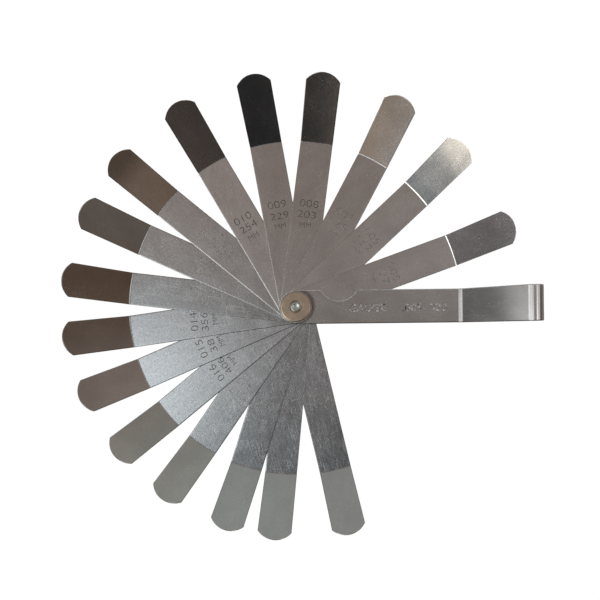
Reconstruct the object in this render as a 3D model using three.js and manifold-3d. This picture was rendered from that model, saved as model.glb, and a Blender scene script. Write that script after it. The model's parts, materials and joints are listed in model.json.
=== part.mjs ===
// Feeler gauge: sixteen bent steel leaves that fan out of a folded strip handle.
//
// All lengths are millimetres. The origin is on the pivot axis, in the face the gauge stands on.
// +X runs along the handle, +Z points from the screw head towards the lock nut.
// Every leaf is flat from the pivot to its bend and then climbs at 45 degrees to its round tip.

import * as THREE from 'three';
import { mergeVertices } from 'three/addons/utils/BufferGeometryUtils.js';
import Module from 'manifold-3d';

const wasm = await Module();
wasm.setup();

// ---------------------------------------------------------------- driving sizes

const INCH = 25.4;

const leafWidth = INCH / 2;
const halfWidth = leafWidth / 2;

const bendAngle = Math.PI / 4;
const bendRadius = 1.0;
const bendDistance = 65.1;
const tipLength = 28.2;
const tipRadius = 1.26 * halfWidth;

// Thickness of each leaf in thousandths of an inch, from the top of the stack to the bottom,
// and the direction it points in, in degrees anticlockwise from the handle.
const leaves = [
  { thou: 5, degrees: 19.5 },
  { thou: 6, degrees: 42.6 },
  { thou: 7, degrees: 61.7 },
  { thou: 8, degrees: 82.2 },
  { thou: 9, degrees: 99.9 },
  { thou: 10, degrees: 120 },
  { thou: 11, degrees: 140.3 },
  { thou: 12, degrees: 155.4 },
  { thou: 13, degrees: 172.9 },
  { thou: 14, degrees: 187.8 },
  { thou: 15, degrees: 202.9 },
  { thou: 16, degrees: 219.2 },
  { thou: 17, degrees: 235.1 },
  { thou: 18, degrees: 252 },
  { thou: 19, degrees: 264.2 },
  { thou: 20, degrees: 283 },
];

const leafGap = 0.03;
const turningClearance = 0.05;

const stripWidth = 13.2;
const stripThickness = 0.8;
const upperLegBendRadius = 3.0;
const notchChord = 14.0;
const notchDepth = 4.3;
const notchDistance = 17.0;

const headDiameter = 12.0;
const headThickness = 1.0;
const shankDiameter = 4.2;
const neckSide = 4.3;
const neckHeight = 0.7;
const screwEndDiameter = 3.3;
const endDishDepth = 0.25;

const washerDiameter = 12.5;
const washerThickness = 0.4;
const nutDiameter = 11.9;
const nutThickness = 2.2;
const nutEdgeRound = 0.45;

const bendSteps = 5;
const roundSteps = 48;
const leafColumns = 14;

// ---------------------------------------------------------------- derived sizes

const stripHalfWidth = stripWidth / 2;

// Each bend moves outwards by this much for every millimetre it lies lower in the stack,
// so that the slopes of all leaves stay parallel and nest when the gauge is closed.
const bendShift = Math.tan(bendAngle / 2);

const stackHeight = leaves.reduce((sum, leaf) => sum + leaf.thou * INCH / 1000 + leafGap, leafGap);
const lowerLegTop = headThickness + stripThickness;
const upperLegBottom = lowerLegTop + stackHeight;
const firstLeafTop = upperLegBottom - leafGap;
const upperLegTop = upperLegBottom + stripThickness;

// A leaf swung under the upper leg rises earlier at its edges than on its centre line,
// because its bend is an arc about the pivot. The upper slope is lifted to let it through.
const swingClearance = leafWidth ** 2 / (8 * bendDistance) + 0.1;

const washerBottom = upperLegTop + 0.02;
const nutBottom = washerBottom + washerThickness;
const nutTop = nutBottom + nutThickness;

// ---------------------------------------------------------------- materials

function steel(name, color, roughness, metalness = 0.9) {
  return new THREE.MeshStandardMaterial({ name, color, roughness, metalness });
}

const handleSteel = steel('handle_steel', 0x77706b, 0.38);
const leafSteel = steel('leaf_steel', 0x84827f, 0.34);
const screwSteel = steel('screw_steel', 0xb4b6b2, 0.35);
const nutBrass = steel('nut_brass', 0x83786a, 0.5, 0.75);

// ---------------------------------------------------------------- solids

function toManifold(geometry) {
  const bare = geometry.clone();
  bare.deleteAttribute('normal');
  bare.deleteAttribute('uv');
  const merged = mergeVertices(bare, 1e-4);
  return new wasm.Manifold(new wasm.Mesh({
    numProp: 3,
    vertProperties: new Float32Array(merged.attributes.position.array),
    triVerts: new Uint32Array(merged.index.array),
  }));
}

function toGeometry(manifold) {
  const mesh = manifold.getMesh();
  const geometry = new THREE.BufferGeometry();
  geometry.setAttribute('position', new THREE.BufferAttribute(mesh.vertProperties, 3));
  geometry.setIndex(new THREE.BufferAttribute(mesh.triVerts, 1));
  geometry.computeVertexNormals();
  return geometry;
}

// Cuts every tool out of the body.
function cut(body, ...tools) {
  const result = tools.reduce((rest, tool) => rest.subtract(toManifold(tool)), toManifold(body));
  return toGeometry(result);
}

function common(body, tool) {
  return toGeometry(toManifold(body).intersect(toManifold(tool)));
}

// A prism standing on the XY outline of the shape between two heights.
function prism(shape, bottom, top, curveSegments = 12) {
  const geometry = new THREE.ExtrudeGeometry(shape, {
    depth: top - bottom,
    bevelEnabled: false,
    curveSegments,
  });
  return geometry.translate(0, 0, bottom);
}

// A round bar about the pivot axis between two heights.
function bar(diameter, bottom, top) {
  const geometry = new THREE.CylinderGeometry(diameter / 2, diameter / 2, top - bottom, roundSteps);
  return geometry.rotateX(Math.PI / 2).translate(0, 0, (bottom + top) / 2);
}

// A square bar about the pivot axis between two heights.
function squareBar(side, bottom, top) {
  const geometry = new THREE.BoxGeometry(side, side, top - bottom);
  return geometry.translate(0, 0, (bottom + top) / 2);
}

// A body of revolution about the pivot axis from [radius, height] pairs.
function turned(profile) {
  const points = profile.map(([radius, height]) => new THREE.Vector2(radius, height));
  return new THREE.LatheGeometry(points, roundSteps).rotateX(Math.PI / 2);
}

// ---------------------------------------------------------------- leaves

// Closes two facing grids of points, given row by row, into one thin body.
function closedSheet(topRows, bottomRows) {
  const rowCount = topRows.length;
  const columnCount = topRows[0].length;
  const positions = [...topRows.flat(2), ...bottomRows.flat(2)];
  const top = (row, column) => row * columnCount + column;
  const bottom = (row, column) => top(row, column) + rowCount * columnCount;
  const indices = [];
  const face = (a, b, c, d) => indices.push(a, b, c, a, c, d);

  for (let row = 0; row < rowCount - 1; row += 1) {
    for (let column = 0; column < columnCount - 1; column += 1) {
      face(top(row, column), top(row + 1, column), top(row + 1, column + 1), top(row, column + 1));
      face(bottom(row, column), bottom(row, column + 1), bottom(row + 1, column + 1), bottom(row + 1, column));
    }
    const last = columnCount - 1;
    face(top(row, 0), bottom(row, 0), bottom(row + 1, 0), top(row + 1, 0));
    face(top(row, last), top(row + 1, last), bottom(row + 1, last), bottom(row, last));
  }
  for (let column = 0; column < columnCount - 1; column += 1) {
    const last = rowCount - 1;
    face(top(0, column), top(0, column + 1), bottom(0, column + 1), bottom(0, column));
    face(top(last, column), bottom(last, column), bottom(last, column + 1), top(last, column + 1));
  }

  const geometry = new THREE.BufferGeometry();
  geometry.setAttribute('position', new THREE.Float32BufferAttribute(positions, 3));
  geometry.setIndex(indices);
  return geometry;
}

// A point of the leaf: `radius` from the pivot axis, `across` from the leaf's centre line.
function leafPoint(radius, across, height) {
  return [Math.sqrt(radius ** 2 - across ** 2), across, height];
}

// A bent leaf lying along +X with its flat top face at height zero.
// Heights depend only on the distance from the pivot, so leaves pass one another at any angle.
function bentLeaf(thickness, foldDistance) {
  const across = [];
  for (let column = 0; column <= leafColumns; column += 1) {
    across.push(-halfWidth * Math.cos(Math.PI * column / leafColumns));
  }
  const rowsAt = (sink) => {
    const rootEnd = across.map((y) => [-Math.sqrt(Math.max(halfWidth ** 2 - y ** 2, 0)), y, -sink]);
    const rows = [rootEnd];
    const bendStart = foldDistance - bendRadius * bendShift;
    for (let step = 0; step <= bendSteps; step += 1) {
      const angle = bendAngle * step / bendSteps;
      const radius = bendStart + (bendRadius + sink) * Math.sin(angle);
      const height = bendRadius - (bendRadius + sink) * Math.cos(angle);
      rows.push(across.map((y) => leafPoint(radius, y, height)));
    }
    rows.push(across.map((y) => {
      const slope = tipLength - tipRadius + Math.sqrt(tipRadius ** 2 - y ** 2);
      const radius = foldDistance + slope * Math.cos(bendAngle) + sink * Math.sin(bendAngle);
      const height = slope * Math.sin(bendAngle) - sink * Math.cos(bendAngle);
      return leafPoint(radius, y, height);
    }));
    return rows;
  };
  const sheet = closedSheet(rowsAt(0), rowsAt(thickness));
  const hole = bar(shankDiameter + 2 * turningClearance, -thickness - 1, 1);
  return cut(sheet, hole);
}

function addLeaves(group) {
  let depth = 0;
  for (const { thou, degrees } of leaves) {
    const thickness = thou * INCH / 1000;
    const geometry = bentLeaf(thickness, bendDistance + depth * bendShift);
    const leaf = new THREE.Mesh(geometry, leafSteel);
    leaf.name = `leaf_${String(thou).padStart(3, '0')}`;
    leaf.position.z = firstLeafTop - depth;
    leaf.rotation.z = degrees * Math.PI / 180;
    group.add(leaf);
    depth += thickness + leafGap;
  }
}

// ---------------------------------------------------------------- handle

// Side outline of a strip bent along a path. The path follows the strip's inner face from
// `start` as a list of straight lengths and turns, anticlockwise turns being positive.
// The strip's thickness is laid on the right-hand side of the path.
function bentStripOutline(start, path, thickness) {
  const inner = [];
  const outer = [];
  let [x, z] = start;
  let heading = 0;
  const mark = () => {
    inner.push([x, z]);
    outer.push([x + thickness * Math.sin(heading), z - thickness * Math.cos(heading)]);
  };
  mark();
  for (const piece of path) {
    if (piece.length !== undefined) {
      x += piece.length * Math.cos(heading);
      z += piece.length * Math.sin(heading);
      mark();
      continue;
    }
    const stepAngle = piece.angle / piece.steps;
    const chord = 2 * piece.radius * Math.sin(Math.abs(stepAngle) / 2);
    for (let step = 0; step < piece.steps; step += 1) {
      x += chord * Math.cos(heading + stepAngle / 2);
      z += chord * Math.sin(heading + stepAngle / 2);
      heading += stepAngle;
      mark();
    }
  }
  return [...inner, ...outer.reverse()];
}

// The two legs run flat from the pivot, climb side by side and meet in a U-bend
// that leaves room for the tips of the closed leaves.
function handleStrip() {
  const flatGap = upperLegBottom - lowerLegTop;
  const slopeGap = flatGap + swingClearance * Math.cos(bendAngle);
  const lowerFold = bendDistance + (firstLeafTop - lowerLegTop) * bendShift;
  const upperFold = bendDistance - leafGap * bendShift - swingClearance;
  const lowerTangent = bendRadius * bendShift;
  const upperTangent = (upperLegBendRadius + stripThickness) * bendShift;

  const tipMargin = 0.15;
  const lowerSlope = tipLength + (firstLeafTop - lowerLegTop) * bendShift + tipMargin;
  const foldOffset = (upperFold - lowerFold) * Math.cos(bendAngle) + flatGap * Math.sin(bendAngle);
  const upperSlope = lowerSlope - foldOffset;

  const path = [
    { length: stripHalfWidth + lowerFold - lowerTangent },
    { radius: bendRadius, angle: bendAngle, steps: bendSteps },
    { length: lowerSlope - lowerTangent },
    { radius: slopeGap / 2, angle: Math.PI, steps: 20 },
    { length: upperSlope - upperTangent },
    { radius: upperLegBendRadius + stripThickness, angle: -bendAngle, steps: 2 * bendSteps },
    { length: upperFold - upperTangent + stripHalfWidth },
  ];
  const outline = bentStripOutline([-stripHalfWidth, lowerLegTop], path, stripThickness);
  const side = new THREE.Shape(outline.map(([x, z]) => new THREE.Vector2(x, z)));
  const strip = new THREE.ExtrudeGeometry(side, { depth: stripWidth + 2, bevelEnabled: false });
  strip.rotateX(Math.PI / 2).translate(0, stripHalfWidth + 1, 0);

  const plan = prism(handlePlan(), -10, 50, 24);
  const squareHole = squareBar(neckSide + 0.1, headThickness - 1, lowerLegTop + 1);
  const roundHole = bar(shankDiameter + 2 * turningClearance, upperLegBottom - 1, upperLegTop + 1);
  return cut(common(strip, plan), squareHole, roundHole);
}

// Outline of the handle from above: a round end at the pivot and a notch for the thumb.
function handlePlan() {
  const farEnd = bendDistance + tipLength + 20;
  const notchRadius = (notchChord ** 2 / 4 + notchDepth ** 2) / (2 * notchDepth);
  const notchHeight = stripHalfWidth - notchDepth + notchRadius;
  const notchHalfAngle = Math.asin(notchChord / 2 / notchRadius);
  const down = -Math.PI / 2;

  const shape = new THREE.Shape();
  shape.absarc(0, 0, stripHalfWidth, Math.PI / 2, -Math.PI / 2, false);
  shape.lineTo(farEnd, -stripHalfWidth);
  shape.lineTo(farEnd, stripHalfWidth);
  shape.absarc(notchDistance, notchHeight, notchRadius, down + notchHalfAngle, down - notchHalfAngle, true);
  shape.closePath();
  return shape;
}

function addHandle(group) {
  const handle = new THREE.Mesh(handleStrip(), handleSteel);
  handle.name = 'handle_strip';
  group.add(handle);
}

// ---------------------------------------------------------------- pivot hardware

// Low plain head, square neck in the lower leg, plain shank standing for the thread, dished end.
function addScrew(group) {
  const headRadius = headDiameter / 2;
  const shankRadius = shankDiameter / 2;
  const endRadius = screwEndDiameter / 2;
  const endChamfer = shankRadius - endRadius;
  const headEdge = 0.25;
  const body = turned([
    [0, 0],
    [headRadius - headEdge, 0],
    [headRadius, headEdge],
    [headRadius, headThickness],
    [shankRadius, headThickness],
    [shankRadius, nutTop - endChamfer],
    [endRadius, nutTop],
    [0.72 * endRadius, nutTop],
    [0.45 * endRadius, nutTop - 0.8 * endDishDepth],
    [0, nutTop - endDishDepth],
  ]);
  const neck = squareBar(neckSide, headThickness - 0.2, headThickness + neckHeight);
  const geometry = toGeometry(toManifold(body).add(toManifold(neck)));
  const screw = new THREE.Mesh(geometry, screwSteel);
  screw.name = 'pivot_screw';
  group.add(screw);
}

// Flat washer held captive under the nut.
function addWasher(group) {
  const outer = washerDiameter / 2;
  const inner = shankDiameter / 2 + turningClearance;
  const edge = washerThickness / 4;
  const washer = new THREE.Mesh(turned([
    [inner, washerBottom],
    [outer, washerBottom],
    [outer, nutBottom - edge],
    [outer - edge, nutBottom],
    [inner, nutBottom],
    [inner, washerBottom],
  ]), screwSteel);
  washer.name = 'nut_washer';
  group.add(washer);
}

// Plain round nut with a rounded upper edge and a countersunk thread.
function addNut(group) {
  const outer = nutDiameter / 2;
  const inner = shankDiameter / 2 + turningClearance;
  const countersink = 0.35;
  const bottom = nutBottom + 0.01;
  const profile = [[inner, bottom], [outer, bottom]];
  for (let step = 0; step <= 4; step += 1) {
    const angle = Math.PI / 2 * step / 4;
    profile.push([
      outer - nutEdgeRound * (1 - Math.cos(angle)),
      nutTop - nutEdgeRound * (1 - Math.sin(angle)),
    ]);
  }
  profile.push([inner + countersink, nutTop], [inner, nutTop - countersink], [inner, bottom]);
  const nut = new THREE.Mesh(turned(profile), nutBrass);
  nut.name = 'lock_nut';
  group.add(nut);
}

const group = new THREE.Group();
group.name = 'feeler_gauge';
addHandle(group);
addScrew(group);
addLeaves(group);
addWasher(group);
addNut(group);

export default group;
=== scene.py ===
import json
import math
import random
from collections import namedtuple

import bmesh
import bpy
from mathutils import Matrix, Vector


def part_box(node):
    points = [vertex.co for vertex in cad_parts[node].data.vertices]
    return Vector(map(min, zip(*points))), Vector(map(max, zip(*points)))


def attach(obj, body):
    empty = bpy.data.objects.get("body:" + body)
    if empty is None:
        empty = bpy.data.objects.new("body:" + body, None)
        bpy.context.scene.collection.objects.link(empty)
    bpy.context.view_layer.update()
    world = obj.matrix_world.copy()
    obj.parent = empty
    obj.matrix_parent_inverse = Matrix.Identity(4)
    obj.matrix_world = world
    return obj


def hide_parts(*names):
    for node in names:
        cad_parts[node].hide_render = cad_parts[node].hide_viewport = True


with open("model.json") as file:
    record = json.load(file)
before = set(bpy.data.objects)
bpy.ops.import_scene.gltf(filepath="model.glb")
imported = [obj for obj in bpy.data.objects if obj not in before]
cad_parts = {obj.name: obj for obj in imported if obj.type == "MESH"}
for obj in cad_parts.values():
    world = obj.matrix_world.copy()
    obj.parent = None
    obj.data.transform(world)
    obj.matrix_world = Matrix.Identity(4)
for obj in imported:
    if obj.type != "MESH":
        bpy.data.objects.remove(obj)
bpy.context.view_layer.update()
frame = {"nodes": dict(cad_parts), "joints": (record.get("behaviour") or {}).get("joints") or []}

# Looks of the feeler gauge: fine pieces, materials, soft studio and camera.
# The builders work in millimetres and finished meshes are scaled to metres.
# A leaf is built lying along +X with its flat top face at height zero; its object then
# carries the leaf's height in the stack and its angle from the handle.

random.seed(16)

MM = 0.001
INCH = 25.4

# ------------------------------------------------------------------ sizes in millimetres


def node_box(node):
    """Lowest and highest corner of a CAD node."""
    return [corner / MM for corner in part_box(node)]


def node_points(node):
    """All vertices of a CAD node."""
    return [vertex.co / MM for vertex in frame["nodes"][node].data.vertices]


# A leaf: half an inch wide, with a round tip and finely rounded edges.
HALF_WIDTH = INCH / 4
BEND_ANGLE = math.radians(45)
BEND_RADIUS = 1.0
BEND_TANGENT = BEND_RADIUS * math.tan(BEND_ANGLE / 2)
TIP_RADIUS = 1.26 * HALF_WIDTH
EDGE_ROUND = 0.25

# The handle strip and the pivot hardware.
STRIP_HALF_WIDTH = node_box("handle_strip")[1].y
STRIP_EDGE_ROUND = 0.30
BORE_RADIUS = min(point.xy.length for point in node_points("nut_washer"))
WASHER_RADIUS = node_box("nut_washer")[1].x

STAMP_DEPTH = 0.03

# CAD points whose heights differ by less than this lie on one face.
SAME_HEIGHT = 0.002

# ------------------------------------------------------------------ shader nodes


class Shader:
    """A node tree that is filled by calling add() with a node type and its inputs."""

    def __init__(self, tree):
        self.tree = tree
        self.tree.nodes.clear()

    def add(self, kind, inputs=None, **settings):
        node = self.tree.nodes.new(kind)
        for key, value in settings.items():
            setattr(node, key, value)
        for key, value in (inputs or {}).items():
            if isinstance(value, bpy.types.NodeSocket):
                self.tree.links.new(value, node.inputs[key])
            else:
                node.inputs[key].default_value = value
        return node

    def math(self, operation, first, *others):
        """A math node, or a chain of them when there are more than two values."""
        for other in others or (0.0,):
            first = self.add("ShaderNodeMath", {0: first, 1: other}, operation=operation).outputs[0]
        return first

    def vector_math(self, operation, first, second=None):
        inputs = {0: first} if second is None else {0: first, 1: second}
        return self.add("ShaderNodeVectorMath", inputs, operation=operation).outputs

    def span(self, value, low, high, to_low=0.0, to_high=1.0, smooth=False):
        """Maps value from low..high to to_low..to_high, clamped."""
        kind = "SMOOTHSTEP" if smooth else "LINEAR"
        limits = {"From Min": low, "From Max": high, "To Min": to_low, "To Max": to_high}
        node = self.add("ShaderNodeMapRange", {"Value": value, **limits}, interpolation_type=kind)
        return node.outputs[0]

    def mix(self, factor, a, b, blend="MIX"):
        """The colour a blended towards the colour b."""
        inputs = {0: factor, 6: a, 7: b}
        return self.add("ShaderNodeMix", inputs, data_type="RGBA", blend_type=blend).outputs[2]

    def noise(self, vector, scale, detail=3.0, roughness=0.55):
        inputs = {"Vector": vector, "Scale": scale, "Detail": detail, "Roughness": roughness}
        return self.add("ShaderNodeTexNoise", inputs).outputs[0]

    def stretched(self, vector, angle, scale):
        """The vector turned by angle (degrees) about Z and then scaled per axis."""
        turned = self.add("ShaderNodeVectorRotate", {"Vector": vector, "Angle": math.radians(angle)})
        return self.vector_math("MULTIPLY", turned.outputs[0], scale)[0]

    def hairlines(self, vector, angle, length, spacing, share):
        """Fine scratches in one direction: 1 on a scratch, 0 elsewhere. Sizes in millimetres."""
        lines = self.noise(self.stretched(vector, angle, (1 / length, 1 / spacing, 1)), 1.0, 1.0)
        return self.span(lines, 0.74 - share, 0.80 - share)

    def bump(self, height, strength, distance, normal=None):
        """A normal bent by the height, whose full range stands for distance millimetres."""
        inputs = {"Height": height, "Strength": strength, "Distance": distance * MM}
        if normal is not None:
            inputs["Normal"] = normal
        return self.add("ShaderNodeBump", inputs).outputs[0]


def linear(colour):
    """An sRGB colour given as 0..255 numbers, as linear RGBA."""
    def channel(value):
        value /= 255
        return value / 12.92 if value <= 0.04045 else ((value + 0.055) / 1.055) ** 2.4
    return tuple(channel(value) for value in colour) + (1.0,)


def scaled(colour, factor):
    return tuple(value * factor for value in colour[:3]) + (1.0,)


STEEL_COLOUR = linear((200, 198, 195))
# Light bare steel, for scratches and for the painted highlight on the handle's notched edge.
BARE_STEEL_AND_HIGHLIGHT = (0.95, 0.95, 0.94, 1)
# Dark brown that paints shade onto the steel: the shadow beside the nut and dark lines along edges.
PAINTED_SHADE_COLOUR = (0.13, 0.09, 0.07, 1)


def new_material(name):
    material = bpy.data.materials.new(name)
    material.use_nodes = True
    return material, Shader(material.node_tree)


def finish_material(shader, surface):
    shader.add("ShaderNodeOutputMaterial", {"Surface": surface})


def millimetres(shader):
    """Object coordinates in millimetres."""
    place = shader.add("ShaderNodeTexCoord").outputs["Object"]
    return shader.vector_math("MULTIPLY", place, (1 / MM,) * 3)[0]


def separate(shader, vector):
    return shader.add("ShaderNodeSeparateXYZ", {0: vector}).outputs


def combine(shader, x, y, z):
    return shader.add("ShaderNodeCombineXYZ", {0: x, 1: y, 2: z}).outputs[0]


def distance(shader, x, y):
    """How far the point (x, y) is from (0, 0)."""
    return shader.vector_math("LENGTH", combine(shader, x, y, 0.0))[1]


def on_strip(shader, seed):
    """Place on the unbent strip in millimetres: along it and across it, shifted for each seed."""
    parts = separate(shader, millimetres(shader))
    longer_slope = shader.math("MULTIPLY", parts[2], math.tan(BEND_ANGLE / 2))
    along = shader.math("ADD", parts[0], longer_slope)
    return along, combine(shader, along, parts[1], 13.0 * seed)


# ------------------------------------------------------------------ materials


# How one piece of ground strip steel looks.
# fold: place of the bend in millimetres along the strip.
# wear: how scratched the flat body and the raised tip are, from 0 to 1.
# tones: how light the body, the tip next to the fold and the far end of the tip are; the tip values
# are painted reflection, the body value partly the steel's own tone and partly painted light.
# streaks: direction of most fine streaks, in degrees from the strip.
# oil: function that gives the places where painted shade darkens the steel, standing in for shadows
# and dark reflections.
# polish: roughness of the cleanest steel.
# warp: height in millimetres of the slow waves that thin steel never quite loses.
StripFinish = namedtuple("StripFinish", "fold wear tones streaks oil polish warp")


def steel_grain(shader, place):
    """Brushing along the strip and fine speckle, from -1 to 1."""
    brushing = shader.noise(shader.stretched(place, 0, (0.12, 3.2, 1)), 1.0, 5.0, 0.7)
    speckle = shader.noise(place, 1.3, 4.0, 0.75)
    brushing = shader.math("MULTIPLY", brushing, 0.35)
    speckle = shader.math("MULTIPLY", speckle, 0.65)
    return shader.span(shader.math("ADD", brushing, speckle), 0.34, 0.66, -1, 1)


def fine_streaks(shader, place, angle):
    """Dense short scratches, most of them close to one angle."""
    streaks = shader.hairlines(place, angle, 6, 0.17, 0.13)
    for other_angle, length in ((angle + 9, 9), (4, 9)):
        others = shader.hairlines(place, other_angle, length, 0.19, 0.11)
        streaks = shader.math("MAXIMUM", streaks, others)
    return streaks


def stray_scratches(shader, place):
    """A few longer scratches in four directions."""
    spacing, share = 0.2, 0.05
    scratches = [shader.hairlines(place, angle, length, spacing, share)
                 for angle, length in ((48, 14), (-62, 12), (80, 10), (25, 16))]
    return shader.math("MAXIMUM", *scratches)


def steel_marks(shader, place, worn, angle):
    """Streaks, scratches and flecks, gathered in patches: up to 1 on a mark, 0 elsewhere."""
    patches = shader.span(shader.noise(place, 0.16, 2.0), 0.40, 0.60)
    flecks = shader.span(shader.noise(place, 2.2, 2.0), 0.62, 0.70, 0.0, 0.9)

    def gathered(marks, outside, inside):
        return shader.math("MULTIPLY", marks, shader.span(patches, 0, 1, outside, inside))

    streaks = gathered(fine_streaks(shader, place, angle), 0.35, 0.75)
    scratches = gathered(stray_scratches(shader, place), 0.0, 1.0)
    lines = shader.math("MULTIPLY", shader.math("MAXIMUM", streaks, scratches), worn)
    return shader.math("MAXIMUM", lines, gathered(flecks, 0.15, 1.0))


def steel_tone_and_painted_light(shader, finish, along, raised):
    """How light the steel is along the strip: painted reflection on the raised tip, and a body tone
    that is partly the steel's own and partly painted light.
    """
    near, far = finish.fold + 13, finish.fold + 25
    tip = shader.span(along, near, far, finish.tones[1], finish.tones[2], smooth=True)
    return shader.span(raised, 0, 1, finish.tones[0], tip)


def steel_colour(shader, level, worn):
    """The steel's colour at a level of light; worn steel is a little bluer."""
    red = shader.math("MULTIPLY", level, shader.span(worn, 0.3, 1, 1.0, 0.95))
    blue = shader.math("MULTIPLY", level, shader.span(worn, 0.3, 1, 1.0, 1.05))
    shade = shader.add("ShaderNodeCombineColor", {0: red, 1: level, 2: blue}).outputs[0]
    return shader.mix(1.0, STEEL_COLOUR, shade, "MULTIPLY")


def spring_steel(name, seed, finish):
    """Ground strip steel with brushing, fine scratches, flecks, smudges, painted shade and painted
    reflections along the strip.
    """
    material, shader = new_material(name)
    along, place = on_strip(shader, seed)
    raised = shader.span(along, finish.fold - 0.5, finish.fold + 0.5)
    worn = shader.span(raised, 0, 1, *finish.wear)
    grain = shader.math("MULTIPLY", steel_grain(shader, place), worn)
    smudge = shader.noise(shader.stretched(place, 20, (0.07, 0.11, 1)), 1.0, 3.0)
    marks = steel_marks(shader, place, worn, -finish.streaks)
    painted_shading = finish.oil(shader)

    level = shader.math("MULTIPLY", grain, 0.32)
    level = shader.math("ADD", level, shader.span(smudge, 0.3, 0.7, 0.92, 1.07))
    # Painted light: the body and the raised tip are made lighter or darker for the reflections they
    # take.
    level = shader.math("MULTIPLY", level, steel_tone_and_painted_light(shader, finish, along, raised))
    # Painted shade: the dark brown goes where the finish's mask says, for shadows and dark lines along
    # edges.
    base = shader.mix(painted_shading, steel_colour(shader, level, worn), PAINTED_SHADE_COLOUR)
    base = shader.mix(shader.math("MULTIPLY", marks, 0.65), base, BARE_STEEL_AND_HIGHLIGHT)

    roughness = shader.span(smudge, 0.3, 0.7, finish.polish, finish.polish + 0.05)
    for cause, amount in ((worn, 0.06), (marks, 0.15), (painted_shading, 0.25)):
        roughness = shader.math("ADD", roughness, shader.math("MULTIPLY", cause, amount))

    waves = shader.noise(shader.stretched(place, 0, (0.06, 0.12, 1)), 1.0, 1.0)
    wavy = shader.bump(waves, 1.0, finish.warp)
    surface = shader.add("ShaderNodeBsdfPrincipled", {
        "Base Color": base,
        "Metallic": 1.0,
        "Roughness": roughness,
        "Normal": shader.bump(shader.math("SUBTRACT", grain, marks), 0.25, 0.01, wavy),
    })
    finish_material(shader, surface.outputs[0])
    return material


def handle_painted_shade(shader):
    """Painted shade: the shadow round the washer and nut, heavier on the side away from the light, and
    a dark line along the lower edge of the handle for the shaded gap below it.
    """
    place = millimetres(shader)
    # The painted shadow's centre is shifted towards +X and +Y, away from the window light.
    shadow_centre = (0.5, 0.4, 0)
    parts = separate(shader, shader.vector_math("SUBTRACT", place, shadow_centre)[0])
    radius = distance(shader, parts[0], parts[1])
    ring = shader.span(radius, WASHER_RADIUS + 0.25, WASHER_RADIUS + 1.55, 0.8, 0.0, smooth=True)
    beside = shader.math("MULTIPLY", separate(shader, place)[1], -1.0)
    rim = STRIP_HALF_WIDTH - 0.1
    edge = shader.span(beside, rim - STRIP_EDGE_ROUND, rim, 0.0, 0.7)
    return shader.math("MAXIMUM", ring, edge)


def leaf_edge_painted_shade(shader):
    """Painted shade along both rounded edges of a leaf, for the dark lines of shade between the
    stacked leaves.
    """
    beside = shader.math("ABSOLUTE", separate(shader, millimetres(shader))[1])
    return shader.span(beside, HALF_WIDTH - 1.2 * EDGE_ROUND, HALF_WIDTH - 0.4 * EDGE_ROUND, 0.0, 0.45)


def painted_highlight_edge():
    """Painted highlight: light steel for the rounded edge on the notched side of the handle, standing
    in for the bright line that edge catches.
    """
    material, shader = new_material("painted_highlight_edge")
    highlight_patches = shader.noise(millimetres(shader), 0.8, 4.0)
    base = shader.mix(shader.span(highlight_patches, 0.35, 0.65), BARE_STEEL_AND_HIGHLIGHT, STEEL_COLOUR)
    surface = shader.add("ShaderNodeBsdfPrincipled", {
        "Base Color": base,
        "Metallic": 0.7,
        "Roughness": shader.span(highlight_patches, 0.3, 0.7, 0.35, 0.50),
    })
    finish_material(shader, surface.outputs[0])
    return material


def stamped_steel(name, dark, light):
    """The floor of a stamped mark, from its dirt in the dark colour to bare light metal."""
    material, shader = new_material(name)
    dirt = shader.noise(millimetres(shader), 1.2, 4.0)
    base = shader.mix(shader.span(dirt, 0.35, 0.65), linear(dark), linear(light))
    surface = shader.add("ShaderNodeBsdfPrincipled", {
        "Base Color": base,
        "Metallic": 1.0,
        "Roughness": shader.span(dirt, 0.3, 0.7, 0.3, 0.5),
    })
    finish_material(shader, surface.outputs[0])
    return material


def turned_metal(name, colour, stain, roughness, ring_spacing):
    """Lathe-turned metal: fine rings about the pivot axis, a cloudy stain and light dents."""
    material, shader = new_material(name)
    place = millimetres(shader)
    parts = separate(shader, place)
    radius = distance(shader, parts[0], parts[1])
    rings = shader.noise(combine(shader, radius, 0.0, parts[2]), 1 / ring_spacing, 3.0, 0.6)
    cloud = shader.noise(place, 0.3, 4.0, 0.6)
    dents = shader.noise(place, 1.8, 5.0, 0.7)
    base = shader.mix(shader.span(cloud, 0.42, 0.58), linear(colour), linear(stain))
    base = shader.mix(shader.span(dents, 0.55, 0.75, 0.0, 0.35), base, scaled(linear(colour), 1.35))
    height = shader.math("ADD", shader.math("MULTIPLY", rings, 0.5), dents)
    surface = shader.add("ShaderNodeBsdfPrincipled", {
        "Base Color": base,
        "Metallic": 1.0,
        "Roughness": shader.span(rings, 0.3, 0.7, roughness - 0.06, roughness + 0.08),
        "Normal": shader.bump(height, 0.3, 0.03),
    })
    finish_material(shader, surface.outputs[0])
    return material


def floor_paper():
    """Pale paper that photographs pure white and gives the steel a mid-grey underside."""
    material, shader = new_material("floor_paper")
    fibre = shader.noise(millimetres(shader), 0.5, 4.0)
    grey = shader.mix(fibre, linear((168, 168, 168)), linear((182, 182, 180)))
    diffuse = shader.add("ShaderNodeBsdfDiffuse", {"Color": grey})
    white = shader.add("ShaderNodeEmission", {"Color": (1, 1, 1, 1), "Strength": 1.02})
    seen = shader.add("ShaderNodeLightPath").outputs["Is Camera Ray"]
    surface = shader.add("ShaderNodeMixShader", {0: seen, 1: diffuse.outputs[0], 2: white.outputs[0]})
    finish_material(shader, surface.outputs[0])
    return material


# ------------------------------------------------------------------ mesh helpers


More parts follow.
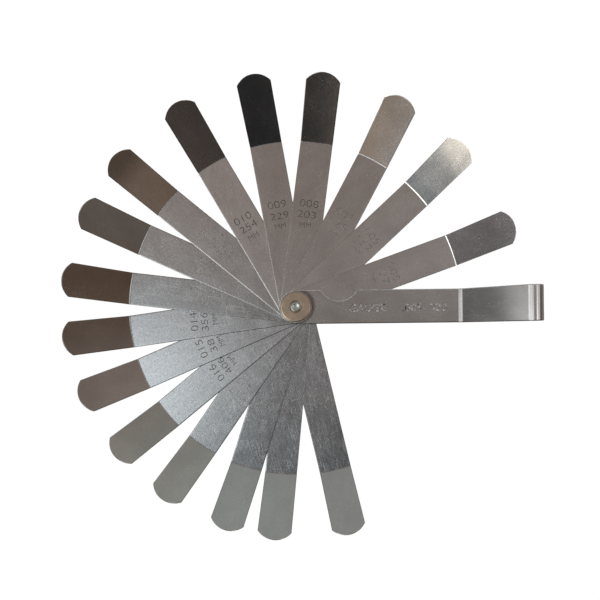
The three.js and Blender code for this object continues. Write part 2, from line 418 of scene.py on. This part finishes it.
def mesh_object(name, vertices, faces, material):
    mesh = bpy.data.meshes.new(name)
    mesh.from_pydata(vertices, [], faces)
    mesh.materials.append(material)
    mesh.update()
    piece = bpy.data.objects.new(name, mesh)
    bpy.context.scene.collection.objects.link(piece)
    return piece


def applied(piece):
    """Applies the piece's modifiers to its mesh."""
    bpy.context.view_layer.update()
    graph = bpy.context.evaluated_depsgraph_get()
    mesh = bpy.data.meshes.new_from_object(piece.evaluated_get(graph))
    piece.modifiers.clear()
    piece.data = mesh
    return piece


def cut_away(piece, cutters):
    """Subtracts the cutters from the piece; cut faces take the cutter's material."""
    for cutter in cutters:
        modifier = piece.modifiers.new("cut", "BOOLEAN")
        modifier.operation = "DIFFERENCE"
        modifier.solver = "EXACT"
        modifier.use_self = True
        modifier.material_mode = "TRANSFER"
        modifier.object = cutter
    applied(piece)
    for cutter in cutters:
        bpy.data.objects.remove(cutter)


def round_cutter(radius, low, high, material, steps=48):
    """A vertical bar about the local Z axis."""
    ring = [(radius * math.cos(2 * math.pi * k / steps), radius * math.sin(2 * math.pi * k / steps))
            for k in range(steps)]
    vertices = [(x, y, low) for x, y in ring] + [(x, y, high) for x, y in ring]
    faces = [(k, (k + 1) % steps, steps + (k + 1) % steps, steps + k) for k in range(steps)]
    faces += [tuple(reversed(range(steps))), tuple(range(steps, 2 * steps))]
    return mesh_object("bore_cutter", vertices, faces, material)


def text_cutter(text, centre, width, height, angle, depth, material, boldness=-0.012):
    """Thin letters of a given size, sunk by depth below the plane of centre."""
    curve = bpy.data.curves.new("stamp", "FONT")
    curve.body = text
    curve.offset = boldness
    curve.extrude = 1.0
    letters = bpy.data.objects.new("stamp", curve)
    bpy.context.scene.collection.objects.link(letters)
    bpy.context.view_layer.update()
    graph = bpy.context.evaluated_depsgraph_get()
    mesh = bpy.data.meshes.new_from_object(letters.evaluated_get(graph))
    bpy.data.objects.remove(letters)

    xs = [vertex.co.x for vertex in mesh.vertices]
    ys = [vertex.co.y for vertex in mesh.vertices]
    middle = Vector(((min(xs) + max(xs)) / 2, (min(ys) + max(ys)) / 2, 0))
    size = Matrix.Diagonal((width / (max(xs) - min(xs)), height / (max(ys) - min(ys)), depth, 1))
    mesh.transform(Matrix.Translation(centre) @ Matrix.Rotation(angle, 4, "Z") @ size
                   @ Matrix.Translation(-middle))
    mesh.materials.clear()
    mesh.materials.append(material)
    welded = bmesh.new()
    welded.from_mesh(mesh)
    bmesh.ops.remove_doubles(welded, verts=welded.verts, dist=1e-4)
    welded.to_mesh(mesh)
    welded.free()
    cutter = bpy.data.objects.new("stamp_cutter", mesh)
    bpy.context.scene.collection.objects.link(cutter)
    return cutter


def smooth(piece, angle=30):
    """Shades the piece smoothly except across edges sharper than angle."""
    mesh = piece.data
    for polygon in mesh.polygons:
        polygon.use_smooth = True
    edges = bmesh.new()
    edges.from_mesh(mesh)
    for edge in edges.edges:
        edge.smooth = edge.calc_face_angle(math.pi) < math.radians(angle)
    edges.to_mesh(mesh)
    edges.free()
    weighted = piece.modifiers.new("flat_faces_stay_flat", "WEIGHTED_NORMAL")
    weighted.keep_sharp = True


def install(piece, body, node, matrix=Matrix.Identity(4)):
    """Scales the finished piece to metres, puts it in its place and hands it to its body."""
    piece.data.transform(Matrix.Scale(MM, 4))
    piece.matrix_world = matrix
    smooth(piece)
    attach(piece, body)
    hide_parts(node)


# ------------------------------------------------------------------ leaves


class Leaf:
    """Sizes of one leaf, in millimetres, read from its CAD node and its joint."""

    def __init__(self, node, angle):
        low, high = node_box(node)
        self.node = node
        self.angle = angle
        self.thou = int(node[-3:])
        self.thickness = self.thou * INCH / 1000
        self.top = low.z + self.thickness
        flat = [point for point in node_points(node) if abs(point.z - self.top) < SAME_HEIGHT]
        self.bend_start = max(point.xy.length for point in flat)
        self.fold = self.bend_start + BEND_TANGENT
        self.tip_length = (high.z - self.top) / math.sin(BEND_ANGLE)
        self.bend_end = self.bend_start + BEND_RADIUS * BEND_ANGLE
        self.length = self.bend_end + self.tip_length - BEND_TANGENT


def leaves():
    """All leaves from the top of the stack down."""
    found = []
    for joint in frame["joints"]:
        if joint["name"].startswith("leaf_"):
            closed_angle = joint["range_deg"][0]
            found.append(Leaf(joint["child"], math.radians(-closed_angle)))
    return sorted(found, key=lambda leaf: leaf.thou)


def on_leaf(leaf, along, across, sink):
    """Point of the bent leaf from its place on the flat blank, sink below the top face.

    The bend line is an arc about the pivot, and the rows of points before it bow towards it.
    """
    if along <= leaf.bend_start:
        bow = leaf.bend_start - math.sqrt(leaf.bend_start ** 2 - across ** 2)
        return along - bow * max(along, 0) / leaf.bend_start, across, -sink
    turn = min((along - leaf.bend_start) / BEND_RADIUS, BEND_ANGLE)
    radius = leaf.bend_start + (BEND_RADIUS + sink) * math.sin(turn)
    height = BEND_RADIUS - (BEND_RADIUS + sink) * math.cos(turn)
    rest = max(along - leaf.bend_end, 0)
    radius += rest * math.cos(BEND_ANGLE)
    height += rest * math.sin(BEND_ANGLE)
    return math.sqrt(radius ** 2 - across ** 2), across, height


def edge_drop(leaf, along, across):
    """How far the rounded edge lies below the face at a point of the flat blank."""
    tip_centre = leaf.length - TIP_RADIUS
    inset = HALF_WIDTH - abs(across)
    if along < 0:
        inset = HALF_WIDTH - math.hypot(along, across)
    if along > tip_centre:
        inset = min(inset, TIP_RADIUS - math.hypot(along - tip_centre, across))
    share = min(max(inset, 0) / EDGE_ROUND, 1)
    return 0.42 * leaf.thickness * (1 - math.sqrt(1 - (1 - share) ** 2))


def leaf_blank(leaf, material):
    """The bent leaf without bore and marks, its points closer together towards the edges."""
    across_steps, bend_steps, slope_steps = 28, 8, 4
    quarter_turn = math.pi / 2
    columns = [HALF_WIDTH * math.sin(quarter_turn * (2 * k / across_steps - 1))
               for k in range(across_steps + 1)]
    insets = (0, 0.03, 0.12, EDGE_ROUND)
    bend_length = leaf.bend_end - leaf.bend_start
    straight_slope = 18

    def row_places(across):
        root = -math.sqrt(max(HALF_WIDTH ** 2 - across ** 2, 0))
        tip = leaf.length - TIP_RADIUS + math.sqrt(TIP_RADIUS ** 2 - across ** 2)
        bend = [leaf.bend_start + bend_length * k / bend_steps for k in range(bend_steps + 1)]
        slope = [leaf.bend_end + straight_slope * k / slope_steps for k in range(1, slope_steps + 1)]
        return ([root + inset for inset in insets] + [8, 24, 50] + bend + slope
                + [tip - inset for inset in reversed(insets)])

    top, bottom = [], []
    for across in columns:
        for along in row_places(across):
            drop = edge_drop(leaf, along, across)
            top.append(on_leaf(leaf, along, across, drop))
            bottom.append(on_leaf(leaf, along, across, leaf.thickness - drop))
    rows = len(top) // len(columns)
    return closed_sheet(leaf.node + "_fine", top, bottom, len(columns), rows, material)


def closed_sheet(name, top, bottom, columns, rows, material):
    """A thin closed body from two facing grids of points, given column by column."""
    count = len(top)
    faces = []
    for c in range(columns - 1):
        for r in range(rows - 1):
            corner = c * rows + r
            quad = (corner, corner + 1, corner + rows + 1, corner + rows)
            faces.append(quad)
            faces.append(tuple(count + k for k in reversed(quad)))
    rim = [c * rows for c in range(columns)]
    rim += [(columns - 1) * rows + r for r in range(1, rows)]
    rim += [c * rows + rows - 1 for c in range(columns - 2, -1, -1)]
    rim += list(range(rows - 2, 0, -1))
    for here, after in zip(rim, rim[1:] + rim[:1]):
        faces.append((here, after, count + after, count + here))
    return mesh_object(name, top + bottom, faces, material)


def leaf_marks(leaf, material):
    """Inch size over metric size over unit, each line struck a little out of true."""
    # Text, distance from the pivot, width and height of the letters.
    lines = (
        (f"{leaf.thou:03d}", 41.0, 7.3, 2.9),
        (f"{round(leaf.thickness * 1000):03d}", 36.7, 7.3, 2.7),
        ("MM", 32.7, 4.2, 2.0),
    )
    across_the_leaf = math.radians(-90)
    cutters = []
    for text, along, width, height in lines:
        centre = Vector((along + random.uniform(-0.2, 0.2), random.uniform(-0.4, 0.4), 0))
        angle = across_the_leaf + math.radians(random.uniform(-2, 2))
        cutters.append(text_cutter(text, centre, width, height, angle, STAMP_DEPTH, material))
    return cutters


# How light the steel of each leaf is: flat body, tip next to the fold, far end of the tip. The tip
# values are painted reflection, set for the light each raised tip takes; the body values are partly
# the leaf's own tone and partly painted light.
TONE_AND_PAINTED_LIGHT = {
    5: (1.05, 0.95, 1.05),
    6: (1.10, 0.80, 1.15),
    7: (1.05, 1.00, 0.92),
    8: (1.03, 0.95, 0.95),
    9: (1.03, 0.95, 1.00),
    10: (1.12, 1.05, 1.00),
    11: (0.95, 1.60, 0.85),
    12: (0.85, 1.15, 1.15),
    13: (0.74, 0.95, 0.95),
    14: (0.92, 0.82, 0.80),
    15: (1.00, 1.10, 0.95),
    16: (1.00, 1.00, 1.15),
    17: (0.90, 1.05, 1.12),
    18: (0.74, 1.00, 1.00),
    19: (0.76, 1.00, 1.00),
    20: (0.82, 1.00, 1.00),
}

# Leaves whose marks are full of dirt and easy to read; the marks of the others are worn.
CLEAR_MARKS = (8, 9, 10, 14, 15, 16)

# The streaks that catch the light all lie in one direction, in degrees from +X.
STREAK_DIRECTION = 112


def leaf_wear(leaf):
    """Wear of body and tip: thick leaves have scratched bodies, thin ones scratched tips."""
    thick = min(max((leaf.thou - 9) / 5, 0), 1)
    return 0.25 + 0.75 * thick, 0.4 - 0.25 * thick


def leaf_warp(leaf):
    """Height of the slow waves in a leaf: the thinner the leaf, the less flat it stays."""
    return 0.12 * (6 / leaf.thou) ** 2


def leaf_finish(leaf):
    streaks = STREAK_DIRECTION - math.degrees(leaf.angle)
    return StripFinish(leaf.fold, leaf_wear(leaf), TONE_AND_PAINTED_LIGHT[leaf.thou], streaks, leaf_edge_painted_shade,
                       polish=0.12, warp=leaf_warp(leaf))


def add_leaf(leaf, steel, stamp):
    piece = leaf_blank(leaf, steel)
    bore = round_cutter(BORE_RADIUS, -1, 1, steel)
    cut_away(piece, [bore] + leaf_marks(leaf, stamp))
    turn = Matrix.Rotation(leaf.angle, 4, "Z")
    lift = Matrix.Translation((0, 0, leaf.top * MM))
    install(piece, leaf.node, leaf.node, lift @ turn)


# ------------------------------------------------------------------ handle and pivot hardware


def rounded_strip(steel, highlight_edge_steel):
    """The CAD strip with rounded edges; the edges on the side that has the thumb notch get the painted
    highlight.
    """
    mesh = bmesh.new()
    mesh.from_mesh(frame["nodes"]["handle_strip"].data)
    bmesh.ops.transform(mesh, matrix=Matrix.Scale(1 / MM, 4), verts=mesh.verts)
    bmesh.ops.remove_doubles(mesh, verts=mesh.verts, dist=1e-3)
    bmesh.ops.dissolve_limit(mesh, angle_limit=math.radians(1), verts=mesh.verts, edges=mesh.edges)
    sharp = [edge for edge in mesh.edges if edge.calc_face_angle(0) > math.radians(50)]
    body_slot, highlight_slot = 0, 1
    bmesh.ops.bevel(mesh, geom=sharp, offset=STRIP_EDGE_ROUND, segments=4, affect="EDGES", profile=0.5,
                    clamp_overlap=False, material=highlight_slot)
    for face in mesh.faces:
        if face.calc_center_median().y < 0:
            face.material_index = body_slot
    piece = bpy.data.objects.new("handle_strip_fine", bpy.data.meshes.new("handle_strip_fine"))
    bpy.context.scene.collection.objects.link(piece)
    mesh.to_mesh(piece.data)
    mesh.free()
    piece.data.materials.append(steel)
    piece.data.materials.append(highlight_edge_steel)
    return piece


def add_handle(steel, highlight_edge_steel, stamp):
    """The folded strip with a word and the size range stamped into its upper leg."""
    piece = rounded_strip(steel, highlight_edge_steel)
    leg_top = max(vertex.co.z for vertex in piece.data.vertices if abs(vertex.co.x) < HALF_WIDTH)
    height, across = 3.0, -0.6
    cutters = []
    for text, along, width in (("GAUGE", 28.0, 14.5), (".005-.020", 50.5, 17.5)):
        centre = Vector((along, across, leg_top))
        cutters.append(text_cutter(text, centre, width, height, 0, STAMP_DEPTH, stamp, boldness=0.012))
    cut_away(piece, cutters)
    install(piece, "handle", "handle_strip")


def revolved(name, profile, material, steps=96):
    """A body of revolution about the pivot axis from (radius, height) pairs, given anticlockwise."""
    vertices, faces, rings = [], [], []
    for radius, height in profile:
        if radius < 1e-6:
            rings.append([len(vertices)] * steps)
            vertices.append((0, 0, height))
            continue
        rings.append(list(range(len(vertices), len(vertices) + steps)))
        for k in range(steps):
            angle = 2 * math.pi * k / steps
            vertices.append((radius * math.cos(angle), radius * math.sin(angle), height))
    closed = profile[0][0] > 1e-6
    pairs = list(zip(rings, rings[1:])) + ([(rings[-1], rings[0])] if closed else [])
    for lower, upper in pairs:
        for k in range(steps):
            n = (k + 1) % steps
            corners = [lower[k], lower[n], upper[n], upper[k]]
            faces.append(tuple(dict.fromkeys(corners)))
    return mesh_object(name, vertices, faces, material)


def rounded_corner(radius, height, size, start, steps=5):
    """Quarter arc that rounds an outer corner at (radius, height), from start degrees on."""
    centre_radius = radius - size
    centre_height = height - size if start == 0 else height + size
    points = []
    for k in range(steps + 1):
        angle = math.radians(start + 90 * k / steps)
        points.append((centre_radius + size * math.cos(angle), centre_height + size * math.sin(angle)))
    return points


def add_nut(brass):
    """Round nut with a countersunk bore and a broadly rounded upper edge."""
    low, high = node_box("lock_nut")
    countersink, lower_round, upper_round = 0.35, 0.12, 0.55
    profile = [(BORE_RADIUS, low.z)]
    profile += rounded_corner(high.x, low.z, lower_round, -90)
    profile += rounded_corner(high.x, high.z, upper_round, 0)
    profile += [(BORE_RADIUS + countersink, high.z), (BORE_RADIUS, high.z - countersink)]
    install(revolved("lock_nut_fine", profile, brass), "lock_nut", "lock_nut")


def add_washer(steel):
    low, high = node_box("nut_washer")
    edge = (high.z - low.z) / 3
    profile = [(BORE_RADIUS, low.z)]
    profile += rounded_corner(high.x, low.z, edge, -90, 3)
    profile += rounded_corner(high.x, high.z, edge, 0, 3)
    profile += [(BORE_RADIUS, high.z)]
    install(revolved("nut_washer_fine", profile, steel), "nut_washer", "nut_washer")


def square_neck(head_top, material):
    """The square part of the screw that keeps it from turning in the lower leg."""
    above_head = [point for point in node_points("pivot_screw") if point.z > head_top + SAME_HEIGHT]
    corner = max(above_head, key=lambda point: point.xy.length)
    half = abs(corner.x)
    sunk_into_head = 0.2
    outline = [(sx * half, sy * half) for sx, sy in ((-1, -1), (1, -1), (1, 1), (-1, 1))]
    vertices = [(x, y, z) for z in (head_top - sunk_into_head, corner.z) for x, y in outline]
    faces = [(3, 2, 1, 0), (4, 5, 6, 7)] + [(k, (k + 1) % 4, 4 + (k + 1) % 4, 4 + k) for k in range(4)]
    return mesh_object("neck", vertices, faces, material)


def add_screw(steel):
    """Low head, square neck, plain shank and a dished end with a raised ring."""
    low, high = node_box("pivot_screw")
    head_top = node_box("handle_strip")[0].z
    nut_bottom = node_box("lock_nut")[0].z
    points = node_points("pivot_screw")
    shank = max(point.xy.length for point in points if point.z > nut_bottom)
    end = max(point.xy.length for point in points if point.z > high.z - SAME_HEIGHT)
    dish = 0.25
    profile = [(0, low.z)]
    profile += rounded_corner(high.x, low.z, 0.22, -90)
    profile += rounded_corner(high.x, head_top, 0.1, 0)
    profile += [(shank, head_top), (shank, high.z - (shank - end))]
    profile += rounded_corner(end, high.z, 0.15, 0)
    profile += [(share * end, high.z - depth * dish)
                for share, depth in ((0.78, 0), (0.6, 0.64), (0.3, 0.96), (0, 1))]
    piece = revolved("pivot_screw_fine", profile, steel)

    neck = square_neck(head_top, steel)
    modifier = piece.modifiers.new("neck", "BOOLEAN")
    modifier.operation = "UNION"
    modifier.solver = "EXACT"
    modifier.object = neck
    applied(piece)
    bpy.data.objects.remove(neck)
    install(piece, "handle", "pivot_screw")


# ------------------------------------------------------------------ studio

# Brightness of the room as the polished steel shows it, by direction round the horizon in
# degrees from +X: once low down, where the raised tips look, and once near the zenith,
# where the flat leaves look.
LOW_ROOM = (
    (0, (82, 68, 58)),
    (24, (105, 95, 90)),
    (50, (118, 118, 114)),
    (75, (127, 131, 131)),
    (104, (126, 128, 128)),
    (150, (108, 106, 106)),
    (180, (88, 86, 87)),
    (200, (94, 90, 91)),
    (222, (124, 130, 136)),
    (245, (134, 120, 108)),
    (258, (50, 48, 47)),
    (281, (32, 32, 33)),
    (300, (58, 52, 50)),
    (321, (78, 66, 57)),
    (336, (80, 74, 70)),
    (353, (72, 58, 49)),
)
HIGH_ROOM = (
    (0, (116, 110, 108)),
    (31, (126, 120, 119)),
    (70, (112, 104, 100)),
    (103, (113, 103, 99)),
    (137, (125, 117, 114)),
    (150, (138, 130, 126)),
    (165, (148, 145, 143)),
    (178, (194, 198, 202)),
    (192, (216, 223, 227)),
    (208, (216, 222, 222)),
    (224, (158, 164, 168)),
    (243, (94, 98, 102)),
    (257, (80, 82, 86)),
    (280, (66, 69, 71)),
    (312, (74, 74, 74)),
    (340, (104, 100, 98)),
)
ZENITH = (112, 106, 104)

# Bright things in the room: azimuth, elevation, half width and half height in degrees,
# strength and colour.
WINDOWS = (
    (207, 50, 13, 18, 2.6, (235, 238, 242)),
    (180, 32, 12, 16.5, 0.8, (232, 234, 236)),
    (221, 30, 10, 10.5, 2.3, (245, 232, 214)),
    (240, 48, 6, 8, 1.6, (235, 238, 240)),
    (350, 62, 12, 10, 1.1, (235, 238, 240)),
    (180, 54, 9, 10, 0.7, (232, 234, 236)),
    (0, 42, 10, 15, 0.5, (232, 234, 236)),
    (92, 45, 18, 18, 0.32, (235, 228, 222)),
)


def compass_ramp(shader, turn, table):
    """Colour ramp round the horizon that closes on itself."""
    ramp = shader.add("ShaderNodeValToRGB", {0: turn})
    elements = ramp.color_ramp.elements
    ramp.color_ramp.interpolation = "EASE"
    elements[0].position = 0.0
    elements[0].color = linear(table[0][1])
    elements[1].position = 1.0
    elements[1].color = linear(table[0][1])
    for degrees, colour in table[1:]:
        elements.new(degrees / 360).color = linear(colour)
    return ramp.outputs[0]


def glow(shader, direction, azimuth, elevation, half_width, half_height):
    """1 inside an oval patch of the room, fading to 0 at its rim. All angles in degrees."""
    turn = Matrix.Rotation(math.radians(azimuth), 3, "Z")
    tilt = Matrix.Rotation(math.radians(-elevation), 3, "Y")
    toward, across, up = (tuple((turn @ tilt).col[k]) for k in range(3))

    def part(axis):
        return shader.vector_math("DOT_PRODUCT", direction, axis)[1]

    x = shader.math("DIVIDE", part(across), math.sin(math.radians(half_width)))
    y = shader.math("DIVIDE", part(up), math.sin(math.radians(half_height)))
    in_front = shader.span(part(toward), 0.0, 0.1)
    inside = shader.span(distance(shader, x, y), 1.0, 0.6, smooth=True)
    return shader.math("MULTIPLY", in_front, inside)


def add_room():
    world = bpy.data.worlds.new("studio_room")
    bpy.context.scene.world = world
    world.use_nodes = True
    shader = Shader(world.node_tree)
    direction = shader.add("ShaderNodeTexCoord").outputs["Generated"]
    parts = separate(shader, direction)
    turn = shader.math("DIVIDE", shader.math("ARCTAN2", parts[1], parts[0]), 2 * math.pi)
    turn = shader.math("FRACT", shader.math("ADD", turn, 1.0))
    rise = shader.math("ARCSINE", parts[2])
    ceiling = shader.span(rise, math.radians(45), math.radians(68), smooth=True)
    walls = compass_ramp(shader, turn, LOW_ROOM)
    room = shader.mix(ceiling, walls, compass_ramp(shader, turn, HIGH_ROOM))
    overhead = shader.span(rise, math.radians(76), math.radians(86), smooth=True)
    room = shader.mix(overhead, room, linear(ZENITH))
    for azimuth, elevation, half_width, half_height, strength, colour in WINDOWS:
        patch = glow(shader, direction, azimuth, elevation, half_width, half_height)
        room = shader.mix(patch, room, scaled(linear(colour), strength))

    seen = shader.add("ShaderNodeLightPath").outputs["Is Camera Ray"]
    reflected = shader.add("ShaderNodeBackground", {"Color": room, "Strength": 1 / STEEL_COLOUR[1]})
    backdrop = shader.add("ShaderNodeBackground", {"Color": (1, 1, 1, 1), "Strength": 1.0})
    surface = shader.add("ShaderNodeMixShader", {
        0: seen,
        1: reflected.outputs[0],
        2: backdrop.outputs[0],
    })
    shader.add("ShaderNodeOutputWorld", {"Surface": surface.outputs[0]})


def add_floor():
    half = 1.5
    corners = [(-half, -half, 0), (half, -half, 0), (half, half, 0), (-half, half, 0)]
    floor = mesh_object("floor", corners, [(0, 1, 2, 3)], floor_paper())


def add_camera(top_leaf):
    """Looks straight down from a quarter of a metre above the leaves, a little off the pivot."""
    x, y, height = 5.52, -10.24, 256.1
    roll = -0.6
    camera = bpy.data.cameras.new("camera")
    camera.sensor_width = 36
    camera.lens = 39.1
    camera.shift_x = -0.0170
    camera.shift_y = 0.0550
    camera.clip_start = 0.01
    holder = bpy.data.objects.new("camera", camera)
    holder.location = Vector((x, y, top_leaf.top + height)) * MM
    holder.rotation_euler.z = math.radians(roll)
    bpy.context.scene.collection.objects.link(holder)
    bpy.context.scene.camera = holder
    bpy.context.scene.view_settings.view_transform = "Standard"


# ------------------------------------------------------------------ scene

stack = leaves()
worn_stamp = stamped_steel("worn_stamp", (132, 128, 125), (200, 197, 194))
dirty_stamp = stamped_steel("dirty_stamp", (78, 74, 71), (150, 146, 143))
for number, leaf in enumerate(stack):
    steel = spring_steel(f"leaf_steel_{leaf.thou:03d}", number + 1, leaf_finish(leaf))
    add_leaf(leaf, steel, dirty_stamp if leaf.thou in CLEAR_MARKS else worn_stamp)
# The handle's slope is painted darker next to the fold and lighter towards its far end, for the
# reflections it takes.
handle_finish = StripFinish(fold=69, wear=(0.25, 0.2), tones=(0.94, 0.72, 1.25), streaks=0,
                            oil=handle_painted_shade, polish=0.15, warp=0.03)
handle_stamp = stamped_steel("handle_stamp", (84, 79, 76), (250, 247, 243))
add_handle(spring_steel("handle_steel", 40, handle_finish), painted_highlight_edge(), handle_stamp)
bright = turned_metal("screw_steel", (216, 220, 214), (186, 190, 184), 0.32, 0.2)
add_screw(bright)
add_washer(bright)
add_nut(turned_metal("nut_brass", (204, 179, 157), (182, 168, 147), 0.34, 0.25))
add_room()
add_floor()
add_camera(stack[0])
